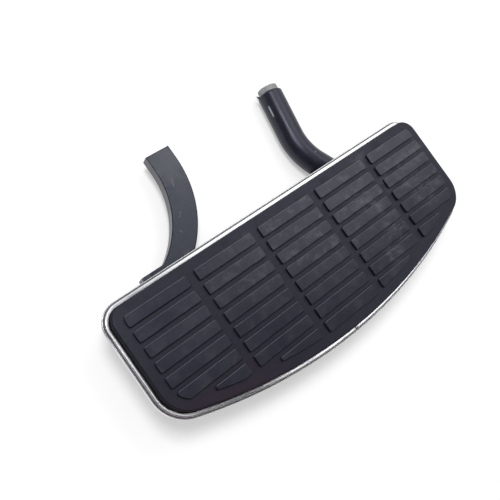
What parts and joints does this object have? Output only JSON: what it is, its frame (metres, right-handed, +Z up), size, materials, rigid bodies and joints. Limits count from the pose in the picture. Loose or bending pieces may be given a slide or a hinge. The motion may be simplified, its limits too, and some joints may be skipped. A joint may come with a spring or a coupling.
{
  "type": "motorcycle floorboard",
  "caption": "folding rider floorboard with a ribbed rubber tread pad, bright edge trim and two hinged support arms, one of flat bar and one of round bar",
  "frame": {"origin": "centre of the top face of the tread block in the middle column, fourth row from the straight edge, where the rider's boot rests", "axes": "X runs along the board, +X towards the round arm; +Y points from the board to the motorcycle, past the straight edge; +Z is up, out of the tread"},
  "size_m": [0.326, 0.213, 0.0568],
  "materials": {
    "pad_rubber": "moulded black rubber, dusty and lightly scuffed on the block tops",
    "pan_paint": "satin black paint",
    "bright_trim": "bright polished strip",
    "flat_arm_paint": "satin black paint over bar stock",
    "round_arm_paint": "gloss black paint, bare metal on the end stub",
    "bracket_paint": "satin black paint",
    "damper_rubber": "plain black rubber sheet",
    "bumper_rubber": "plain black rubber",
    "pin_steel": "zinc-plated steel",
    "washer_steel": "zinc-plated steel",
    "split_pin_steel": "soft steel wire",
    "bush_bronze": "plain bronze, slightly oily",
    "spring_steel": "oiled dark spring steel",
    "stud_steel": "zinc-plated steel",
    "nut_steel": "zinc-plated steel"
  },
  "bodies": {
    "flat_arm_side": {"flat_arm": "flat_arm_paint", "flat_pivot_pin": "pin_steel", "flat_pin_washer": "washer_steel", "flat_split_pin": "split_pin_steel", "flat_stop_bumper": "bumper_rubber", "flat_return_spring": "spring_steel"},
    "deck": {"tread_pad": "pad_rubber", "deck_pan": "pan_paint", "edge_trim": "bright_trim", "flat_hinge_bracket": "bracket_paint", "flat_bracket_damper": "damper_rubber", "flat_bracket_studs": "stud_steel", "flat_bracket_washers": "washer_steel", "flat_bracket_nuts": "nut_steel", "flat_pivot_bushes": "bush_bronze", "round_hinge_bracket": "bracket_paint", "round_bracket_damper": "damper_rubber", "round_bracket_studs": "stud_steel", "round_bracket_washers": "washer_steel", "round_bracket_nuts": "nut_steel", "round_pivot_bushes": "bush_bronze"},
    "round_arm_side": {"round_arm": "round_arm_paint", "round_pivot_pin": "pin_steel", "round_pin_washer": "washer_steel", "round_split_pin": "split_pin_steel", "round_stop_bumper": "bumper_rubber", "round_return_spring": "spring_steel"}
  },
  "joints": [
    {"name": "deck_fold", "type": "hinge", "parent": "flat_arm_side", "child": "deck", "pos_m": [-0.0905, 0.038, -0.04], "axis": [-1, 0, 0], "range_deg": [0, 40], "stiffness_Nm_per_rad": 0.5, "springref_deg": -68.75, "deforming": ["flat_return_spring"]},
    {"name": "round_arm_swing", "type": "hinge", "parent": "deck", "child": "round_arm_side", "pos_m": [0.0905, 0.038, -0.04], "axis": [-1, 0, 0], "range_deg": [-40, 0], "deforming": ["round_return_spring"]}
  ],
  "couplings": [
    {"joint": "round_arm_swing", "follows": "deck_fold", "ratio": -1}
  ]
}
